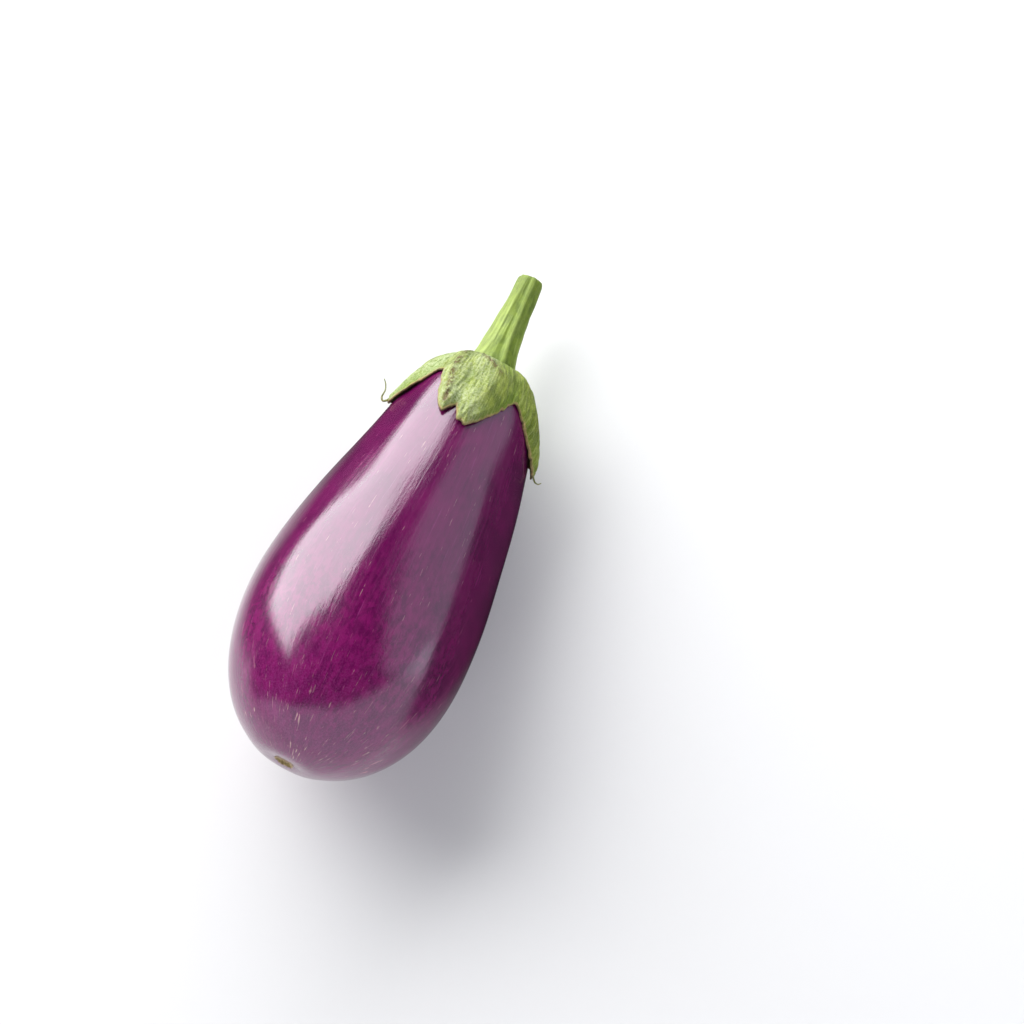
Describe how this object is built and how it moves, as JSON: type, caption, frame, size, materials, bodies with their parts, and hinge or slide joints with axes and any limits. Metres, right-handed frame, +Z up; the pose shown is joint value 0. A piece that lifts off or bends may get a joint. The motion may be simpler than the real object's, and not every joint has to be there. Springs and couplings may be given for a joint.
{
  "type": "eggplant",
  "caption": "Whole elongated eggplant lying on its side: glossy purple fruit with a fuller blossom end, green calyx with pointed sepals and a cut stem.",
  "frame": {"origin": "middle of the underside of the whole part's box, on the surface that the fruit lies on", "axes": "+Z up; +X along the fruit from the blossom end to the cut stem; +Y to the side that the blossom scar leans to"},
  "size_m": [0.205, 0.085, 0.0857],
  "materials": {
    "purple_skin": "glossy waxy skin, deep purple with fine lengthwise streaks",
    "scar_cork": "dry matt cork, tan",
    "calyx_green": "matt downy leaf, green with brown rough ridges",
    "stem_green": "satin green rind with pale lengthwise ribs"
  },
  "bodies": {
    "root": {"fruit": "purple_skin", "blossom_scar": "scar_cork", "calyx": "calyx_green", "stem": "stem_green"}
  },
  "joints": []
}
